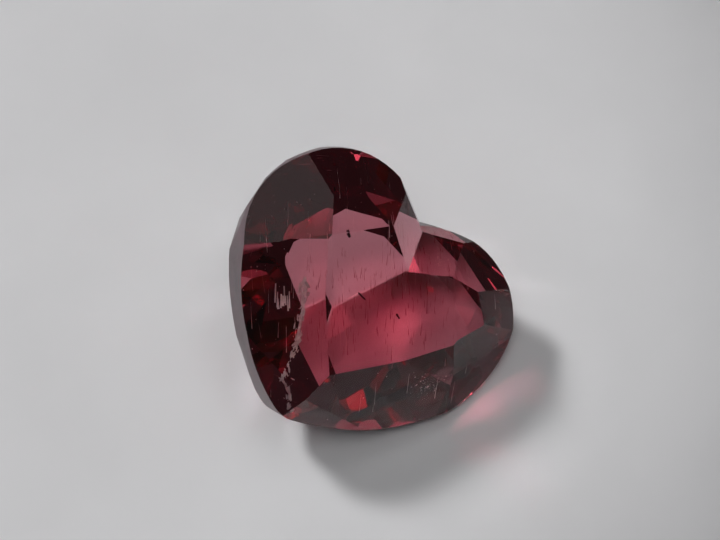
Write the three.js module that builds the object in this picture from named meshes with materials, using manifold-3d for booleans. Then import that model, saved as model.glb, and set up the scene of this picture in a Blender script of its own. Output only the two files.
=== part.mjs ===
import * as THREE from 'three';
import { mergeVertices } from 'three/addons/utils/BufferGeometryUtils.js';
import Module from 'manifold-3d';

// Heart outline in millimetres, seen from the table side: x to the right lobe, y to the cleft.
const LOBE_X = 1.88;
const LOBE_Y = 0.97;
const LOBE_RADIUS = 2.62;
const SHOULDER_RADIUS = 3.49;
const SHOULDER_TURN = 100;
const FLANK_RADIUS = 7.1;
const POINT_RADIUS = 1.0;
const POINT_Y = -3.62;
const OUTLINE_STEP = 0.3;

// Heights measured from the girdle's upper edge.
const TABLE_HEIGHT = 0.9;
const GIRDLE = 0.34;
const BLANK_DEPTH = 6;

// Facets of one half. Azimuth is the way a facet faces, 0 at the side and 90 toward the cleft, slope is its
// angle to the table, and reach is how far from the axis it crosses the level of the girdle's edge.
const CROWN = [
  { azimuth: -63, slope: 43, reach: 3.27 },
  { azimuth: -43.5, slope: 24.3, reach: 3.38 },
  { azimuth: -37, slope: 21.4, reach: 3.76 },
  { azimuth: 2, slope: 27.7, reach: 4.2 },
  { azimuth: -3, slope: 31.9, reach: 4.02 },
  { azimuth: 45, slope: 16.5, reach: 5.47 },
  { azimuth: 49, slope: 28, reach: 4.5 },
  { azimuth: 81, slope: 36, reach: 3.65 },
  { azimuth: 121, slope: 39.6, reach: 2.42 },
  { azimuth: 116, slope: 68, reach: 2.52 },
];

// Steep facets under the girdle and in the cleft, the same on both halves.
const STEPS = [
  { azimuth: -20.6, slope: 76, reach: 4.06 },
  { azimuth: -38, slope: 80, reach: 3.68 },
  { azimuth: -60, slope: 81, reach: 3.44 },
  { azimuth: -4, slope: 68, reach: 4.42 },
  { azimuth: 12, slope: 64, reach: 4.66 },
  { azimuth: 32, slope: 64, reach: 4.71 },
  { azimuth: 52, slope: 62, reach: 4.54 },
  { azimuth: 72, slope: 67, reach: 4.12 },
  { azimuth: 92, slope: 72, reach: 3.56 },
  { azimuth: 135, slope: 80, reach: 2.2 },
];

// Large facets around the culet. The stone lies on the first of them, and the last is a flat beside the culet.
const MAINS = [
  { azimuth: -20.6, slope: 40.2, reach: 4.3 },
  { azimuth: -66, slope: 43, reach: 4.45 },
  { azimuth: 5, slope: 43.6, reach: 4.88 },
  { azimuth: 12, slope: 42.6, reach: 5.15 },
  { azimuth: 34, slope: 50.2, reach: 5.02 },
  { azimuth: 65, slope: 61.4, reach: 4.39 },
  { azimuth: 95, slope: 60, reach: 3.95 },
  { azimuth: 122, slope: 42, reach: 5.28 },
  { azimuth: 150, slope: 41, reach: 5.2 },
  { azimuth: 180, slope: 40, reach: 5.14 },
  { azimuth: 205, slope: 41, reach: 4.67 },
  { azimuth: 228, slope: 42, reach: 4.12 },
  { azimuth: 250, slope: 42, reach: 4.42 },
  { azimuth: 140, slope: 19, reach: 10.2 },
];

// Turn of the lying stone about the upright axis.
const TURN = -33.6;

const UP = new THREE.Vector3(0, 0, 1);
const CUTTER = 40;

const wasm = await Module();
wasm.setup();

function toSolid(geometry) {
  const bare = geometry.clone();
  bare.deleteAttribute('normal');
  bare.deleteAttribute('uv');
  const merged = mergeVertices(bare, 1e-5);
  return new wasm.Manifold(new wasm.Mesh({
    numProp: 3,
    vertProperties: new Float32Array(merged.attributes.position.array),
    triVerts: new Uint32Array(merged.index.array),
  }));
}

function toGeometry(solid) {
  const mesh = solid.getMesh();
  const geometry = new THREE.BufferGeometry();
  geometry.setAttribute('position', new THREE.BufferAttribute(mesh.vertProperties, 3));
  geometry.setIndex(new THREE.BufferAttribute(mesh.triVerts, 1));
  return geometry;
}

function arc(centre, radius, from, to) {
  const count = Math.ceil(Math.abs(to - from) * radius / OUTLINE_STEP);
  const points = [];
  for (let i = 0; i < count; i += 1) {
    const angle = from + (to - from) * i / count;
    points.push(new THREE.Vector2(radius * Math.cos(angle), radius * Math.sin(angle)).add(centre));
  }
  return points;
}

// Shoulder, lobe, flank and point arcs, each tangent to the next, from the cleft down to the point.
function halfOutline() {
  const lobe = new THREE.Vector2(LOBE_X, LOBE_Y);
  const point = new THREE.Vector2(0, POINT_Y + POINT_RADIUS);
  const toLobe = FLANK_RADIUS - LOBE_RADIUS;
  const toPoint = FLANK_RADIUS - POINT_RADIUS;
  const span = lobe.distanceTo(point);
  const along = (toLobe ** 2 - toPoint ** 2 + span ** 2) / (2 * span);
  const aside = Math.sqrt(toLobe ** 2 - along ** 2);
  const way = point.clone().sub(lobe).divideScalar(span);
  const flank = lobe.clone().addScaledVector(way, along);
  flank.addScaledVector(new THREE.Vector2(way.y, -way.x), aside);
  const atShoulder = THREE.MathUtils.degToRad(SHOULDER_TURN);
  const toShoulder = new THREE.Vector2(Math.cos(atShoulder), Math.sin(atShoulder));
  const shoulder = lobe.clone().addScaledVector(toShoulder, LOBE_RADIUS - SHOULDER_RADIUS);
  const atCleft = Math.acos(-shoulder.x / SHOULDER_RADIUS);
  const atFlank = Math.atan2(lobe.y - flank.y, lobe.x - flank.x);
  const atPoint = Math.atan2(point.y - flank.y, point.x - flank.x);
  const outline = [
    ...arc(shoulder, SHOULDER_RADIUS, atCleft, atShoulder),
    ...arc(lobe, LOBE_RADIUS, atShoulder, atFlank),
    ...arc(flank, FLANK_RADIUS, atFlank, atPoint),
    ...arc(point, POINT_RADIUS, atPoint, -Math.PI / 2),
    new THREE.Vector2(0, POINT_Y),
  ];
  outline[0].x = 0;
  return outline;
}

function facetNormal(azimuthDeg, slopeDeg, sign) {
  const azimuth = THREE.MathUtils.degToRad(azimuthDeg);
  const slope = THREE.MathUtils.degToRad(slopeDeg);
  const across = Math.sin(slope);
  return new THREE.Vector3(across * Math.cos(azimuth), across * Math.sin(azimuth), sign * Math.cos(slope));
}

// A large block whose lower face lies on the facet's plane.
function cutter(normal, offset, side) {
  const facing = normal.clone();
  facing.x *= side;
  const block = new THREE.BoxGeometry(CUTTER, CUTTER, CUTTER);
  block.translate(0, 0, CUTTER / 2);
  block.applyQuaternion(new THREE.Quaternion().setFromUnitVectors(UP, facing));
  block.translate(facing.x * offset, facing.y * offset, facing.z * offset);
  return toSolid(block);
}

function grind(solid, facets, sign, level, side) {
  return facets.reduce((left, facet) => {
    const normal = facetNormal(facet.azimuth, facet.slope, sign);
    const offset = facet.reach * Math.hypot(normal.x, normal.y) + level * normal.z;
    return left.subtract(cutter(normal, offset, side));
  }, solid);
}

// One half of the stone: a straight-walled blank with its crown and its steps ground on.
function half(side) {
  const shape = new THREE.Shape(halfOutline().map((p) => new THREE.Vector2(p.x * side, p.y)));
  const blank = new THREE.ExtrudeGeometry(shape, { depth: BLANK_DEPTH + TABLE_HEIGHT, bevelEnabled: false });
  blank.translate(0, 0, -BLANK_DEPTH);
  const crowned = grind(toSolid(blank), CROWN, 1, 0, side);
  return grind(crowned, STEPS, -1, -GIRDLE, side);
}

const stone = toGeometry(grind(half(1).add(half(-1)), MAINS, -1, -GIRDLE, 1));

// Laid on the first of the large facets and centred over the origin.
const bed = facetNormal(MAINS[0].azimuth, MAINS[0].slope, -1);
stone.applyQuaternion(new THREE.Quaternion().setFromUnitVectors(bed, UP.clone().negate()));
stone.rotateZ(THREE.MathUtils.degToRad(TURN));
stone.computeBoundingBox();
const { min, max } = stone.boundingBox;
stone.translate(-(min.x + max.x) / 2, -(min.y + max.y) / 2, -min.z);
stone.computeVertexNormals();

const tourmaline = new THREE.Mesh(stone, new THREE.MeshStandardMaterial({
  color: 0x7a1f30,
  roughness: 0.05,
  metalness: 0,
}));
tourmaline.name = 'tourmaline';

const group = new THREE.Group();
group.add(tourmaline);

export default group;
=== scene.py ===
import math
import random
from typing import NamedTuple

import bmesh
import bpy
from bpy.props import FloatProperty, FloatVectorProperty, IntProperty, PointerProperty
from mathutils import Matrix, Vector
from mathutils.bvhtree import BVHTree


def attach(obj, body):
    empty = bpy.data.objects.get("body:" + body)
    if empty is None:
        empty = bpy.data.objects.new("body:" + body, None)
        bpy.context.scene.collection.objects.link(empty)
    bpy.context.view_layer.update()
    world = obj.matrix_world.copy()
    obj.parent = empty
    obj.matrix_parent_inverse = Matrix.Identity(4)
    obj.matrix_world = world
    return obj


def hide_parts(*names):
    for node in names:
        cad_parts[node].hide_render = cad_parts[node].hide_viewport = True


bl_info = {
    "name": "Heart-Cut Tourmaline",
    "version": (1, 0, 0),
    "blender": (4, 5, 0),
    "location": "3D View > Sidebar > Gem",
    "description": "Dresses a heart-cut tourmaline: polished stone, inclusions, floor, light and camera",
    "category": "Object",
}

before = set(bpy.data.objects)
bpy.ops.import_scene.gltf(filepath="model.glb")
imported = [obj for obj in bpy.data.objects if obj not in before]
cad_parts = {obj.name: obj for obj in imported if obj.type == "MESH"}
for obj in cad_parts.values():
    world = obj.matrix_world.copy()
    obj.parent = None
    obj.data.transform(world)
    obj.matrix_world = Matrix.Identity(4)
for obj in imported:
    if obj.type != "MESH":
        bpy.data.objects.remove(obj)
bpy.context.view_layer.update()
STONE_NODE = "tourmaline"
MM = 0.001

# Facets steeper than this against the table are left ground, not polished.
GROUND_SLOPE = math.radians(75.0)
# Faces that lie this flat to each other, and points this close in metres, belong to one facet.
FACET_FLATNESS = math.radians(0.3)
SAME_POINT = 1e-7

# Grain of the finishes, in waves to a metre, and the height of their relief, in metres.
SMUDGE_GRAIN = 420.0
POLISH_GRAIN = 500.0
POLISH_RELIEF = 0.0000025
GROUND_GRAIN = 9000.0
GROUND_RELIEF = 0.000008
GROUND_PATCHES = 900.0
FILLING_CLOUDS = 6000.0
FLOOR_CLOUDS = 160.0

# Tints of smudged and of clean polish, and the range of roughness from one finish to the other.
SMUDGED = (0.95, 0.94, 0.94)
CLEAN = (1.0, 1.0, 1.0)
FACET_ROUGHNESS = (0.0, 0.025)
GROUND_ROUGHNESS = (0.28, 0.5)
GROUND_CLARITY = 0.7
GROUND_GLOSS = 0.2
FLOOR_ROUGHNESS = 0.7
FLOOR_GLOSS = 0.2
# How dark the darker parts of a clouded colour are.
GROUND_SHADE = 0.55
FILLING_SHADE = 0.7
FLOOR_SHADE = 0.95

# How close to a facet an inclusion and a needle may come, in millimetres.
SKIN = 0.06
NEEDLE_SKIN = 4.0 * SKIN
MOST_TRIES = 1000
# Direction of the crystal's growth, which tubes, needles and threads follow.
GROWTH = Vector((0.0, 0.86, 0.51)).normalized()

# Middle line of the healed fracture on the left flank, in millimetres, from the table's edge to the point.
FEATHER_LINE = (
    Vector((-1.9, -0.35, 4.4)),
    Vector((-1.9, -0.7, 4.1)),
    Vector((-2.0, -1.15, 3.85)),
    Vector((-2.05, -1.6, 3.55)),
    Vector((-2.25, -2.0, 3.25)),
    Vector((-2.45, -2.4, 2.8)),
    Vector((-2.25, -2.7, 2.5)),
    Vector((-2.3, -3.05, 2.05)),
)
# The way most flakes face, and the number of tufts that they gather in.
FEATHER_FACE = Vector((0.0, -0.4, 0.9))
FEATHER_TUFTS = 15
TUFT_WIDTH = 0.2
# Spread about the line and length of the flakes in millimetres, each as the least and what is added to it.
FLAKE_SPREAD = (0.05, 0.2)
FLAKE_LENGTH = (0.03, 0.17)
# A flake's width, thickness, bend and ragged edge as parts of its length or width.
FLAKE_WIDTH = (0.15, 0.4)
FLAKE_HALF_THICKNESS = 0.08
FLAKE_BEND = 0.25
FLAKE_EDGE = (0.55, 1.1)
FLAKE_CORNERS = 9
# How far a flake may turn from the line and from the common face.
FLAKE_STRAY = 0.5
FLAKE_TILT = 0.6

# Corner of the bundle of growth tubes and the way the bundle spreads, in millimetres.
TUBE_CORNER = Vector((-2.68, -0.84, 4.0))
TUBE_SPREAD = Vector((0.45, 0.03, -0.05))
TUBE_JITTER = (-0.3, 0.3)
TUBE_SHIFT = (-0.16, 0.1)
TUBE_LENGTH = (0.22, 0.5)
TUBE_RADIUS = (0.018, 0.036)
TUBE_TAPER = (0.4, 0.9)
TUBE_STRAY = 0.08
TUBE_SIDES = 6

# Needles through the body, in millimetres.
NEEDLE_LENGTH = (0.2, 0.8)
NEEDLE_RADIUS = (0.003, 0.007)
NEEDLE_STRAY = 0.06
NEEDLE_TAPER = 0.3
NEEDLE_SIDES = 5

# Middle and half sizes of the veil under the table, and its threads, in millimetres. The threads' dark
# colour is partly the veil's own and partly painted shade, darkening the view through the table where inner
# reflections darken the stone.
VEIL_MIDDLE = Vector((0.1, -0.1, 2.6))
VEIL_REACH = Vector((2.1, 1.6, 0.9))
THREAD_LENGTH = (0.08, 0.45)
THREAD_RADIUS = (0.004, 0.010)
THREAD_STRAY = 0.12

# Middles and radii of the two clouds of specks, in millimetres. One speck in three lies outside the clouds.
SPECK_CLOUDS = (
    (Vector((1.69, 0.81, 2.71)), 0.5),
    (Vector((1.43, -1.94, 1.20)), 0.6),
)
LOOSE_SPECKS = 3
# Least radius of a speck and what is added to it, in millimetres, and its ragged shape.
SPECK_RADIUS = (0.006, 0.018)
SPECK_EDGE = (0.6, 1.3)
SPECK_TWIST = (-0.4, 0.4)
SPECK_BELT = 4

# Middle, length and radius of each dark crystal, in millimetres, and the way that they lie.
DARK_CRYSTALS = (
    (Vector((-0.78, 0.97, 4.70)), 0.14, 0.05),
    (Vector((-0.55, 0.01, 2.92)), 0.3, 0.03),
    (Vector((0.49, -0.40, 2.44)), 0.17, 0.03),
)
DARK_WAY = Vector((0.7, -0.5, -0.4))
DARK_STRAY = 0.4
DARK_TAPER = 0.7
DARK_SIDES = 6


class Softbox(NamedTuple):
    """An oval lamp: angles in degrees, lengths in metres, light as a share of the light level."""

    name: str
    azimuth: float
    elevation: float
    distance: float
    width: float
    height: float
    beam: float
    share: float


# Four lamps whose grids keep their beams narrow, and an open one that gives the upper facets their sheen.
SOFTBOXES = (
    Softbox("key_lamp", 140.0, 41.5, 0.05, 0.04, 0.027, 16.0, 0.60),
    Softbox("front_lamp", 250.0, 72.0, 0.05, 0.04, 0.04, 24.0, 0.19),
    Softbox("right_lamp", 350.0, 74.0, 0.05, 0.04, 0.04, 24.0, 0.11),
    Softbox("back_lamp", 80.0, 66.0, 0.05, 0.04, 0.04, 24.0, 0.07),
    Softbox("top_lamp", 225.0, 84.0, 0.25, 0.14, 0.14, 180.0, 0.62),
)
# Middle of the lit part of the floor, and half the floor's side, in metres.
POOL_MIDDLE = Vector((-0.005, 0.004, 0.0))
FLOOR_HALF = 1.5
ROOM_COLOUR = (0.95, 0.97, 1.0, 1.0)
ROOM_LIGHT = 0.035

SENSOR_WIDTH = 36.0
NEAREST = 0.001
FARTHEST = 20.0

# Light passes many facets before it leaves the stone.
STONE_BOUNCES = 24
GLOSS_BOUNCES = 12
FLOOR_BOUNCES = 4
BRIGHTEST_GLINT = 60.0


class StoneSettings(bpy.types.PropertyGroup):
    """Optics and finish of the cut stone."""

    body_tint: FloatVectorProperty(
        name="Body Tint", description="Light that the crystal lets through in a deep pass",
        subtype="COLOR", size=3, min=0.0, max=1.0, default=(0.80, 0.30, 0.40))
    depth_of_colour: FloatProperty(
        name="Depth of Colour", description="How strongly a metre of crystal soaks up light",
        default=430.0, min=0.0)
    refraction: FloatProperty(
        name="Refraction", description="Index of refraction of tourmaline", default=1.63, min=1.0, max=3.0)
    ground_colour: FloatVectorProperty(
        name="Ground Colour", description="Colour of the ground girdle",
        subtype="COLOR", size=3, min=0.0, max=1.0, default=(0.45, 0.28, 0.32))


class InclusionSettings(bpy.types.PropertyGroup):
    """Fractures, tubes, grains and crystals inside the stone."""

    pale_colour: FloatVectorProperty(
        name="Pale Colour", description="Colour of fracture flakes, tubes, needles and specks",
        subtype="COLOR", size=3, min=0.0, max=1.0, default=(0.98, 0.93, 0.90))
    # Dark colour of the veil threads: partly the veil's own colour, partly painted shade over the view
    # through the table.
    veil_and_shade_colour: FloatVectorProperty(
        name="Veil Colour", description="Colour of the threads under the table",
        subtype="COLOR", size=3, min=0.0, max=1.0, default=(0.26, 0.07, 0.09))
    dark_colour: FloatVectorProperty(
        name="Dark Colour", description="Colour of the dark crystals",
        subtype="COLOR", size=3, min=0.0, max=1.0, default=(0.03, 0.008, 0.012))
    flakes: IntProperty(name="Flakes", description="Flakes in the healed fracture", default=150, min=1)
    tubes: IntProperty(name="Tubes", description="Growth tubes in the bundle", default=9, min=1)
    needles: IntProperty(name="Needles", description="Fine needles in the body", default=60, min=1)
    threads: IntProperty(name="Threads", description="Short threads in the veil", default=190, min=1)
    specks: IntProperty(name="Specks", description="Bright grains in the body", default=420, min=1)
    seed: IntProperty(name="Seed", description="Pattern of the inclusions", default=7, min=0)


class StageSettings(bpy.types.PropertyGroup):
    """Floor, light and camera."""

    floor_colour: FloatVectorProperty(
        name="Floor Colour", description="Pale surface under the stone",
        subtype="COLOR", size=3, min=0.0, max=1.0, default=(0.80, 0.795, 0.81))
    floor_gap: FloatProperty(
        name="Floor Gap", description="How far the floor lies under the stone's lowest facet",
        subtype="DISTANCE", unit="LENGTH", default=0.00003)
    light_level: FloatProperty(
        name="Light Level", description="Light that falls on a square metre of the floor, in watts",
        default=2.02, min=0.0)
    camera_elevation: FloatProperty(
        name="Camera Elevation", description="Angle of the view above the floor",
        subtype="ANGLE", unit="ROTATION", default=math.radians(65.0))
    camera_distance: FloatProperty(
        name="Camera Distance", description="From the camera to the point it looks at",
        subtype="DISTANCE", unit="LENGTH", default=0.0703)
    camera_aim: FloatVectorProperty(
        name="Camera Aim", description="Point on the floor in the middle of the picture",
        subtype="TRANSLATION", unit="LENGTH", size=3, default=(-0.00038, 0.00207, 0.0))
    camera_lens: FloatProperty(
        name="Camera Lens", description="Focal length", subtype="DISTANCE_CAMERA", default=120.0)


def new_material(name):
    material = bpy.data.materials.new(name)
    material.use_nodes = True
    nodes = material.node_tree.nodes
    return material, nodes, material.node_tree.links, nodes["Principled BSDF"]


def add_noise(nodes, links, scale, detail):
    place = nodes.new("ShaderNodeTexCoord")
    texture = nodes.new("ShaderNodeTexNoise")
    texture.inputs["Scale"].default_value = scale
    texture.inputs["Detail"].default_value = detail
    links.new(place.outputs["Object"], texture.inputs["Vector"])
    return texture.outputs["Fac"]


def add_ramp(nodes, links, factor, low, high, start=0.35, end=0.65):
    ramp = nodes.new("ShaderNodeValToRGB")
    ramp.color_ramp.elements[0].position = start
    ramp.color_ramp.elements[1].position = end
    ramp.color_ramp.elements[0].color = (*low, 1.0)
    ramp.color_ramp.elements[1].color = (*high, 1.0)
    links.new(factor, ramp.inputs["Fac"])
    return ramp.outputs["Color"]


def add_range(nodes, links, factor, low, high, start=0.4, end=0.75):
    span = nodes.new("ShaderNodeMapRange")
    span.inputs["From Min"].default_value = start
    span.inputs["From Max"].default_value = end
    span.inputs["To Min"].default_value = low
    span.inputs["To Max"].default_value = high
    links.new(factor, span.inputs["Value"])
    return span.outputs["Result"]


def add_bump(nodes, links, shader, height, distance):
    bump = nodes.new("ShaderNodeBump")
    bump.inputs["Strength"].default_value = 1.0
    bump.inputs["Distance"].default_value = distance
    links.new(height, bump.inputs["Height"])
    links.new(bump.outputs["Normal"], shader.inputs["Normal"])


def shade(colour, factor):
    return tuple(channel * factor for channel in colour)


def add_body_colour(nodes, links, stone):
    """Colour that deepens with the length of the light's way through the crystal"""
    absorption = nodes.new("ShaderNodeVolumeAbsorption")
    absorption.inputs["Color"].default_value = (*stone.body_tint, 1.0)
    absorption.inputs["Density"].default_value = stone.depth_of_colour
    links.new(absorption.outputs["Volume"], nodes["Material Output"].inputs["Volume"])


def facet_material(stone):
    """Polished facets with faint smudges and the slight waviness of hand polish"""
    material, nodes, links, shader = new_material("polished_tourmaline")
    smudge = add_noise(nodes, links, SMUDGE_GRAIN, 4.0)
    links.new(add_ramp(nodes, links, smudge, SMUDGED, CLEAN), shader.inputs["Base Color"])
    links.new(add_range(nodes, links, smudge, *FACET_ROUGHNESS), shader.inputs["Roughness"])
    add_bump(nodes, links, shader, add_noise(nodes, links, POLISH_GRAIN, 3.0), POLISH_RELIEF)
    shader.inputs["IOR"].default_value = stone.refraction
    shader.inputs["Transmission Weight"].default_value = 1.0
    add_body_colour(nodes, links, stone)
    return material


def girdle_material(stone):
    """Ground band, cloudy and fine-grained"""
    material, nodes, links, shader = new_material("ground_girdle")
    grain = add_noise(nodes, links, GROUND_GRAIN, 4.0)
    patch = add_noise(nodes, links, GROUND_PATCHES, 3.0)
    dim = shade(stone.ground_colour, GROUND_SHADE)
    links.new(add_ramp(nodes, links, patch, dim, stone.ground_colour), shader.inputs["Base Color"])
    links.new(add_range(nodes, links, patch, *GROUND_ROUGHNESS), shader.inputs["Roughness"])
    add_bump(nodes, links, shader, grain, GROUND_RELIEF)
    shader.inputs["IOR"].default_value = stone.refraction
    shader.inputs["Transmission Weight"].default_value = GROUND_CLARITY
    shader.inputs["Specular IOR Level"].default_value = GROUND_GLOSS
    add_body_colour(nodes, links, stone)
    return material


def inclusion_material(name, colour, roughness):
    """Cloudy filling of a fracture, tube, grain or crystal"""
    material, nodes, links, shader = new_material(name)
    cloud = add_noise(nodes, links, FILLING_CLOUDS, 3.0)
    dim = shade(colour, FILLING_SHADE)
    links.new(add_ramp(nodes, links, cloud, dim, colour), shader.inputs["Base Color"])
    shader.inputs["Roughness"].default_value = roughness
    return material


def floor_material(stage):
    """Matt pale surface with faint clouds"""
    material, nodes, links, shader = new_material("pale_floor")
    cloud = add_noise(nodes, links, FLOOR_CLOUDS, 5.0)
    dim = shade(stage.floor_colour, FLOOR_SHADE)
    links.new(add_ramp(nodes, links, cloud, dim, stage.floor_colour), shader.inputs["Base Color"])
    shader.inputs["Roughness"].default_value = FLOOR_ROUGHNESS
    shader.inputs["Specular IOR Level"].default_value = FLOOR_GLOSS
    return material


def link_piece(name, mesh):
    piece = bpy.data.objects.new(name, mesh)
    bpy.context.scene.collection.objects.link(piece)
    return piece


def keep_inclusion(name, shape, material):
    """Turn a mesh given in millimetres into a piece of the stone"""
    if not shape.faces:
        raise RuntimeError(name + " has no faces")
    bmesh.ops.scale(shape, vec=(MM, MM, MM), verts=shape.verts)
    bmesh.ops.recalc_face_normals(shape, faces=shape.faces)
    mesh = bpy.data.meshes.new(name)
    shape.to_mesh(mesh)
    shape.free()
    mesh.materials.append(material)
    piece = link_piece(name, mesh)
    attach(piece, "root")


def stone_depth():
    """A function that tells how deep a point lies inside the stone, in millimetres"""
    shape = bmesh.new()
    shape.from_mesh(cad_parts[STONE_NODE].data)
    tree = BVHTree.FromBMesh(shape)
    shape.free()

    def depth(point):
        near, normal, _, distance = tree.find_nearest(point * MM)
        inside = (point * MM - near).dot(normal) < 0.0
        return distance / MM if inside else -distance / MM

    return depth


def mark_ground(mesh):
    """Give the steep faces around the girdle the second material"""
    upward = [face for face in mesh.polygons if face.normal.z > 0.5]
    table = max(upward, key=lambda face: face.area)
    for face in mesh.polygons:
        ground = abs(face.normal.dot(table.normal)) < math.cos(GROUND_SLOPE)
        face.material_index = 1 if ground else 0


class GEM_OT_cut_stone(bpy.types.Operator):
    """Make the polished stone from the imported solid"""

    bl_idname = "gem.cut_stone"
    bl_label = "Cut Stone"

    def execute(self, context):
        stone = context.scene.gem_stone
        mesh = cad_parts[STONE_NODE].data.copy()
        mesh.name = "cut_stone"
        mesh.materials.clear()
        shape = bmesh.new()
        shape.from_mesh(mesh)
        bmesh.ops.remove_doubles(shape, verts=shape.verts, dist=SAME_POINT)
        bmesh.ops.dissolve_limit(shape, angle_limit=FACET_FLATNESS, verts=shape.verts, edges=shape.edges)
        for face in shape.faces:
            face.smooth = False
        shape.to_mesh(mesh)
        shape.free()
        mesh.materials.append(facet_material(stone))
        mesh.materials.append(girdle_material(stone))
        mark_ground(mesh)
        piece = link_piece("cut_stone", mesh)
        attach(piece, "root")
        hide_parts(STONE_NODE)
        return {"FINISHED"}


def around(count):
    """Evenly spaced angles of a full turn"""
    return [2.0 * math.pi * i / count for i in range(count)]


def add_flake(shape, centre, along, normal, length, width, rng):
    """A thin, bent, ragged flake, thickest in its middle and closed all round"""
    side = along.cross(normal).normalized()
    bend = rng.uniform(-FLAKE_BEND, FLAKE_BEND) * length
    front = shape.verts.new(centre + normal * width * FLAKE_HALF_THICKNESS)
    back = shape.verts.new(centre - normal * width * FLAKE_HALF_THICKNESS)
    ring = []
    for turn in around(FLAKE_CORNERS):
        reach = rng.uniform(*FLAKE_EDGE)
        across = math.sin(turn) * reach
        forward = math.cos(turn) * reach
        flat = centre + along * (forward * length) + side * (across * width)
        ring.append(shape.verts.new(flat + normal * (bend * forward * forward)))
    for i, corner in enumerate(ring):
        following = ring[(i + 1) % FLAKE_CORNERS]
        shape.faces.new((front, corner, following))
        shape.faces.new((back, following, corner))


def add_rod(shape, start, end, radius, sides, taper):
    """A closed straight rod that narrows toward its far end"""
    along = (end - start).normalized()
    side = along.orthogonal().normalized()
    other = along.cross(side)
    rings = []
    for centre, size in ((start, radius), (end, radius * taper)):
        rings.append([
            shape.verts.new(centre + (side * math.cos(turn) + other * math.sin(turn)) * size)
            for turn in around(sides)])
    for i in range(sides):
        j = (i + 1) % sides
        shape.faces.new((rings[0][i], rings[0][j], rings[1][j], rings[1][i]))
    shape.faces.new(rings[0][::-1])
    shape.faces.new(rings[1])


def add_grain(shape, centre, radius, rng):
    """A ragged grain of two points and a belt"""
    up = Vector((0.0, 0.0, 1.0))
    above = centre + up * radius * rng.uniform(*SPECK_EDGE)
    below = centre - up * radius * rng.uniform(*SPECK_EDGE)
    belt = []
    for angle in around(SPECK_BELT):
        turn = angle + rng.uniform(*SPECK_TWIST)
        way = Vector((math.cos(turn), math.sin(turn), 0.0))
        belt.append(shape.verts.new(centre + way * radius * rng.uniform(*SPECK_EDGE)))
    top = shape.verts.new(above)
    bottom = shape.verts.new(below)
    for i, corner in enumerate(belt):
        following = belt[(i + 1) % SPECK_BELT]
        shape.faces.new((corner, following, top))
        shape.faces.new((following, corner, bottom))


def random_way(rng):
    return Vector((rng.gauss(0, 1), rng.gauss(0, 1), rng.gauss(0, 1))).normalized()


def mostly_small(span, power, rng):
    """The least of a span and a part of what is added to it, more often a small part"""
    least, added = span
    return least + added * rng.random() ** power


def random_spot(depth, skin, rng):
    """A point of the stone, in millimetres, that lies deeper than the skin"""
    corners = [Vector(corner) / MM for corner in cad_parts[STONE_NODE].bound_box]
    low, high = ([pick(axis) for axis in zip(*corners)] for pick in (min, max))
    for _ in range(MOST_TRIES):
        spot = Vector([rng.uniform(a, b) for a, b in zip(low, high)])
        if depth(spot) > skin:
            return spot
    raise RuntimeError("no room inside the stone")


class GEM_OT_grow_feather(bpy.types.Operator):
    """Add the healed fracture along the left flank"""

    bl_idname = "gem.grow_feather"
    bl_label = "Grow Feather"

    def execute(self, context):
        inclusions = context.scene.gem_inclusions
        rng = random.Random(inclusions.seed)
        depth = stone_depth()
        shape = bmesh.new()
        spans = len(FEATHER_LINE) - 1
        for _ in range(inclusions.flakes):
            tuft = (rng.randrange(FEATHER_TUFTS) + rng.gauss(0.5, TUFT_WIDTH)) / FEATHER_TUFTS
            step = min(max(tuft, 0.0), 1.0) * spans
            index = min(int(step), spans - 1)
            start, end = FEATHER_LINE[index], FEATHER_LINE[index + 1]
            spread = mostly_small(FLAKE_SPREAD, 2, rng)
            centre = start.lerp(end, step - index) + random_way(rng) * spread * rng.random()
            length = mostly_small(FLAKE_LENGTH, 2, rng)
            if depth(centre) < SKIN + length:
                continue
            along = ((end - start).normalized() + random_way(rng) * FLAKE_STRAY).normalized()
            facing = FEATHER_FACE - along * FEATHER_FACE.dot(along)
            normal = (facing + random_way(rng) * FLAKE_TILT).normalized()
            width = length * rng.uniform(*FLAKE_WIDTH)
            add_flake(shape, centre, along, normal, length, width, rng)
        flakes = inclusion_material("feather_flakes", inclusions.pale_colour, 0.35)
        keep_inclusion("feather", shape, flakes)
        return {"FINISHED"}


class GEM_OT_grow_tubes(bpy.types.Operator):
    """Add the bundle of growth tubes and the fine needles"""

    bl_idname = "gem.grow_tubes"
    bl_label = "Grow Tubes"

    def execute(self, context):
        inclusions = context.scene.gem_inclusions
        rng = random.Random(inclusions.seed + 1)
        depth = stone_depth()
        shape = bmesh.new()
        for i in range(inclusions.tubes):
            start = TUBE_CORNER + TUBE_SPREAD * ((i + rng.uniform(*TUBE_JITTER)) / inclusions.tubes)
            start += GROWTH * rng.uniform(*TUBE_SHIFT)
            end = start + (GROWTH + random_way(rng) * TUBE_STRAY) * rng.uniform(*TUBE_LENGTH)
            if min(depth(start), depth(end)) > SKIN:
                add_rod(shape, start, end, rng.uniform(*TUBE_RADIUS), TUBE_SIDES, rng.uniform(*TUBE_TAPER))
        filling = inclusion_material("tube_filling", inclusions.pale_colour, 0.3)
        keep_inclusion("growth_tubes", shape, filling)

        shape = bmesh.new()
        for _ in range(inclusions.needles):
            start = random_spot(depth, NEEDLE_SKIN, rng)
            end = start + (GROWTH + random_way(rng) * NEEDLE_STRAY) * rng.uniform(*NEEDLE_LENGTH)
            if depth(end) > NEEDLE_SKIN:
                add_rod(shape, start, end, rng.uniform(*NEEDLE_RADIUS), NEEDLE_SIDES, NEEDLE_TAPER)
        filling = inclusion_material("needle_filling", inclusions.pale_colour, 0.4)
        keep_inclusion("needles", shape, filling)
        return {"FINISHED"}


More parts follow.
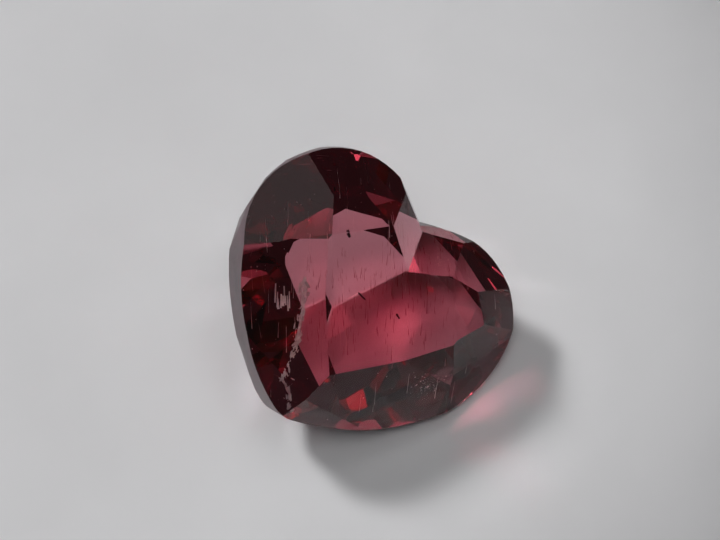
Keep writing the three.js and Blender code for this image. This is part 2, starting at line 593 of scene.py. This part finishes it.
class GEM_OT_grow_veil(bpy.types.Operator):
    """Add the veil of short threads under the table, whose dark colour is partly the veil's own and partly
    painted shade
    """

    bl_idname = "gem.grow_veil"
    bl_label = "Grow Veil"

    def execute(self, context):
        inclusions = context.scene.gem_inclusions
        rng = random.Random(inclusions.seed + 4)
        depth = stone_depth()
        shape = bmesh.new()
        for _ in range(inclusions.threads):
            start = VEIL_MIDDLE + Vector([rng.uniform(-reach, reach) for reach in VEIL_REACH])
            end = start + (GROWTH + random_way(rng) * THREAD_STRAY) * rng.uniform(*THREAD_LENGTH)
            if min(depth(start), depth(end)) > SKIN:
                add_rod(shape, start, end, rng.uniform(*THREAD_RADIUS), NEEDLE_SIDES, NEEDLE_TAPER)
        # Dark threads: partly the veil's own colour, partly painted shade that darkens the view through the
        # table.
        threads = inclusion_material("veil_threads_and_painted_shade", inclusions.veil_and_shade_colour, 0.4)
        keep_inclusion("veil_and_painted_shade", shape, threads)
        return {"FINISHED"}


class GEM_OT_scatter_specks(bpy.types.Operator):
    """Add the clouds of bright specks"""

    bl_idname = "gem.scatter_specks"
    bl_label = "Scatter Specks"

    def execute(self, context):
        inclusions = context.scene.gem_inclusions
        rng = random.Random(inclusions.seed + 2)
        depth = stone_depth()
        shape = bmesh.new()
        for i in range(inclusions.specks):
            centre = random_spot(depth, SKIN, rng)
            if i % LOOSE_SPECKS:
                middle, radius = SPECK_CLOUDS[i % len(SPECK_CLOUDS)]
                centre = middle + random_way(rng) * radius * rng.random()
            if depth(centre) > SKIN:
                add_grain(shape, centre, mostly_small(SPECK_RADIUS, 3, rng), rng)
        grains = inclusion_material("speck_grains", inclusions.pale_colour, 0.3)
        keep_inclusion("specks", shape, grains)
        return {"FINISHED"}


class GEM_OT_set_dark_crystals(bpy.types.Operator):
    """Add the few dark crystals under the table"""

    bl_idname = "gem.set_dark_crystals"
    bl_label = "Set Dark Crystals"

    def execute(self, context):
        inclusions = context.scene.gem_inclusions
        rng = random.Random(inclusions.seed + 3)
        shape = bmesh.new()
        for middle, length, radius in DARK_CRYSTALS:
            way = (DARK_WAY + random_way(rng) * DARK_STRAY).normalized() * length / 2
            add_rod(shape, middle - way, middle + way, radius, DARK_SIDES, DARK_TAPER)
        crystal = inclusion_material("dark_crystal", inclusions.dark_colour, 0.3)
        keep_inclusion("dark_crystals", shape, crystal)
        return {"FINISHED"}


def add_softbox(softbox, light_level):
    """Hang a softbox so that it looks at the lit part of the floor, with a grid that narrows its beam"""
    azimuth = math.radians(softbox.azimuth)
    elevation = math.radians(softbox.elevation)
    face = math.pi * softbox.width * softbox.height / 4.0
    light = bpy.data.lights.new(softbox.name, "AREA")
    light.shape = "ELLIPSE"
    light.size = softbox.width
    light.size_y = softbox.height
    light.spread = math.radians(softbox.beam)
    light.energy = softbox.share * light_level / math.sin(elevation) * face
    lamp = bpy.data.objects.new(softbox.name, light)
    flat = math.cos(elevation)
    way = Vector((flat * math.cos(azimuth), flat * math.sin(azimuth), math.sin(elevation)))
    lamp.location = POOL_MIDDLE + way * softbox.distance
    lamp.rotation_euler = way.to_track_quat("Z", "Y").to_euler()
    bpy.context.scene.collection.objects.link(lamp)


def add_floor(stage):
    shape = bmesh.new()
    bmesh.ops.create_grid(shape, x_segments=2, y_segments=2, size=FLOOR_HALF)
    mesh = bpy.data.meshes.new("floor")
    shape.to_mesh(mesh)
    shape.free()
    mesh.materials.append(floor_material(stage))
    floor = link_piece("floor", mesh)
    floor.location.z = -stage.floor_gap


def add_room(scene):
    world = bpy.data.worlds.new("room")
    scene.world = world
    world.use_nodes = True
    background = world.node_tree.nodes["Background"]
    background.inputs["Color"].default_value = ROOM_COLOUR
    background.inputs["Strength"].default_value = ROOM_LIGHT


def add_camera(stage):
    lens = bpy.data.cameras.new("camera")
    lens.sensor_width = SENSOR_WIDTH
    lens.lens = stage.camera_lens
    lens.clip_start = NEAREST
    lens.clip_end = FARTHEST
    camera = bpy.data.objects.new("camera", lens)
    back = Vector((0.0, -math.cos(stage.camera_elevation), math.sin(stage.camera_elevation)))
    camera.location = Vector(stage.camera_aim) + stage.camera_distance * back
    camera.rotation_euler = (math.pi / 2 - stage.camera_elevation, 0.0, 0.0)
    bpy.context.scene.collection.objects.link(camera)
    return camera


def set_light_paths(scene):
    """Let light run through the stone and onto the floor behind it"""
    scene.view_settings.view_transform = "Standard"
    scene.cycles.max_bounces = STONE_BOUNCES
    scene.cycles.transmission_bounces = STONE_BOUNCES
    scene.cycles.glossy_bounces = GLOSS_BOUNCES
    scene.cycles.diffuse_bounces = FLOOR_BOUNCES
    scene.cycles.caustics_reflective = True
    scene.cycles.caustics_refractive = True
    scene.cycles.blur_glossy = 0.0
    scene.cycles.sample_clamp_indirect = BRIGHTEST_GLINT
    scene.cycles.use_denoising = True


class GEM_OT_set_stage(bpy.types.Operator):
    """Add the floor, the studio light and the camera"""

    bl_idname = "gem.set_stage"
    bl_label = "Set Stage"

    def execute(self, context):
        scene = context.scene
        stage = scene.gem_stage
        add_floor(stage)
        add_room(scene)
        for softbox in SOFTBOXES:
            add_softbox(softbox, stage.light_level)
        scene.camera = add_camera(stage)
        set_light_paths(scene)
        return {"FINISHED"}


class GEM_PT_panel(bpy.types.Panel):
    """Lists the steps that build the stone and its stage"""

    bl_idname = "GEM_PT_panel"
    bl_label = "Heart-Cut Tourmaline"
    bl_space_type = "VIEW_3D"
    bl_region_type = "UI"
    bl_category = "Gem"

    def draw(self, context):
        for step in STEPS:
            self.layout.operator(step.bl_idname)


STEPS = (
    GEM_OT_cut_stone,
    GEM_OT_grow_feather,
    GEM_OT_grow_tubes,
    GEM_OT_grow_veil,
    GEM_OT_scatter_specks,
    GEM_OT_set_dark_crystals,
    GEM_OT_set_stage,
)
SETTINGS = {"gem_stone": StoneSettings, "gem_inclusions": InclusionSettings, "gem_stage": StageSettings}


def register():
    for cls in (*SETTINGS.values(), *STEPS, GEM_PT_panel):
        bpy.utils.register_class(cls)
    for name, cls in SETTINGS.items():
        setattr(bpy.types.Scene, name, PointerProperty(type=cls))


def unregister():
    for name in SETTINGS:
        delattr(bpy.types.Scene, name)
    for cls in reversed((*SETTINGS.values(), *STEPS, GEM_PT_panel)):
        bpy.utils.unregister_class(cls)


def main():
    register()
    bpy.ops.gem.cut_stone()
    bpy.ops.gem.grow_feather()
    bpy.ops.gem.grow_tubes()
    bpy.ops.gem.grow_veil()
    bpy.ops.gem.scatter_specks()
    bpy.ops.gem.set_dark_crystals()
    bpy.ops.gem.set_stage()


if __name__ == "__main__":
    main()
